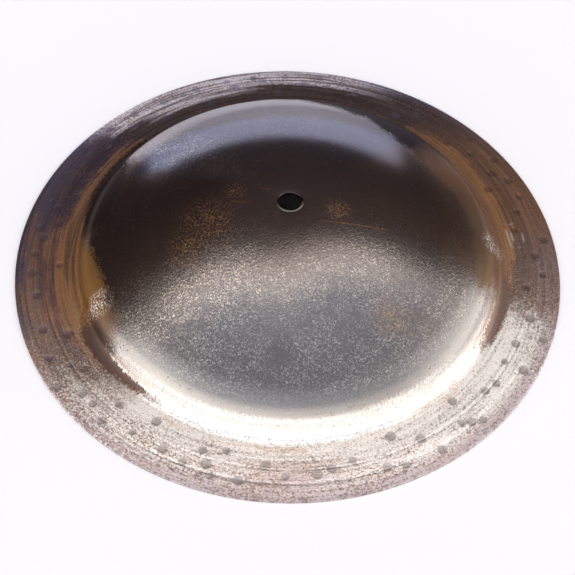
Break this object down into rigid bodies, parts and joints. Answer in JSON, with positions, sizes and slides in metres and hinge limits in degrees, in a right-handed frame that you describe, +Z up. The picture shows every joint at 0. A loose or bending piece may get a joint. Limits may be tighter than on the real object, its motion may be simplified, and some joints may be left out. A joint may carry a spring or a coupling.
{
  "type": "bell cymbal",
  "caption": "Thick cast bronze cymbal that is almost all bell: a deep dome over a narrow hammered flange, with a plain central hole for a stand rod.",
  "frame": {"origin": "centre of the rim's underside, on the plane that the rim rests on", "axes": "+Z up along the axis of the bell, out of the crown; -Y is the side seen nearest in the picture; +X to its right"},
  "size_m": [0.3048, 0.3048, 0.0496],
  "materials": {
    "bell_bronze": "cast and hammered bell bronze with a dark brown oxide skin, worn to a satin bronze sheen on the bell, fine pitting and turned grooves on the flange"
  },
  "bodies": {
    "root": {"bell_cymbal": "bell_bronze"}
  },
  "joints": []
}
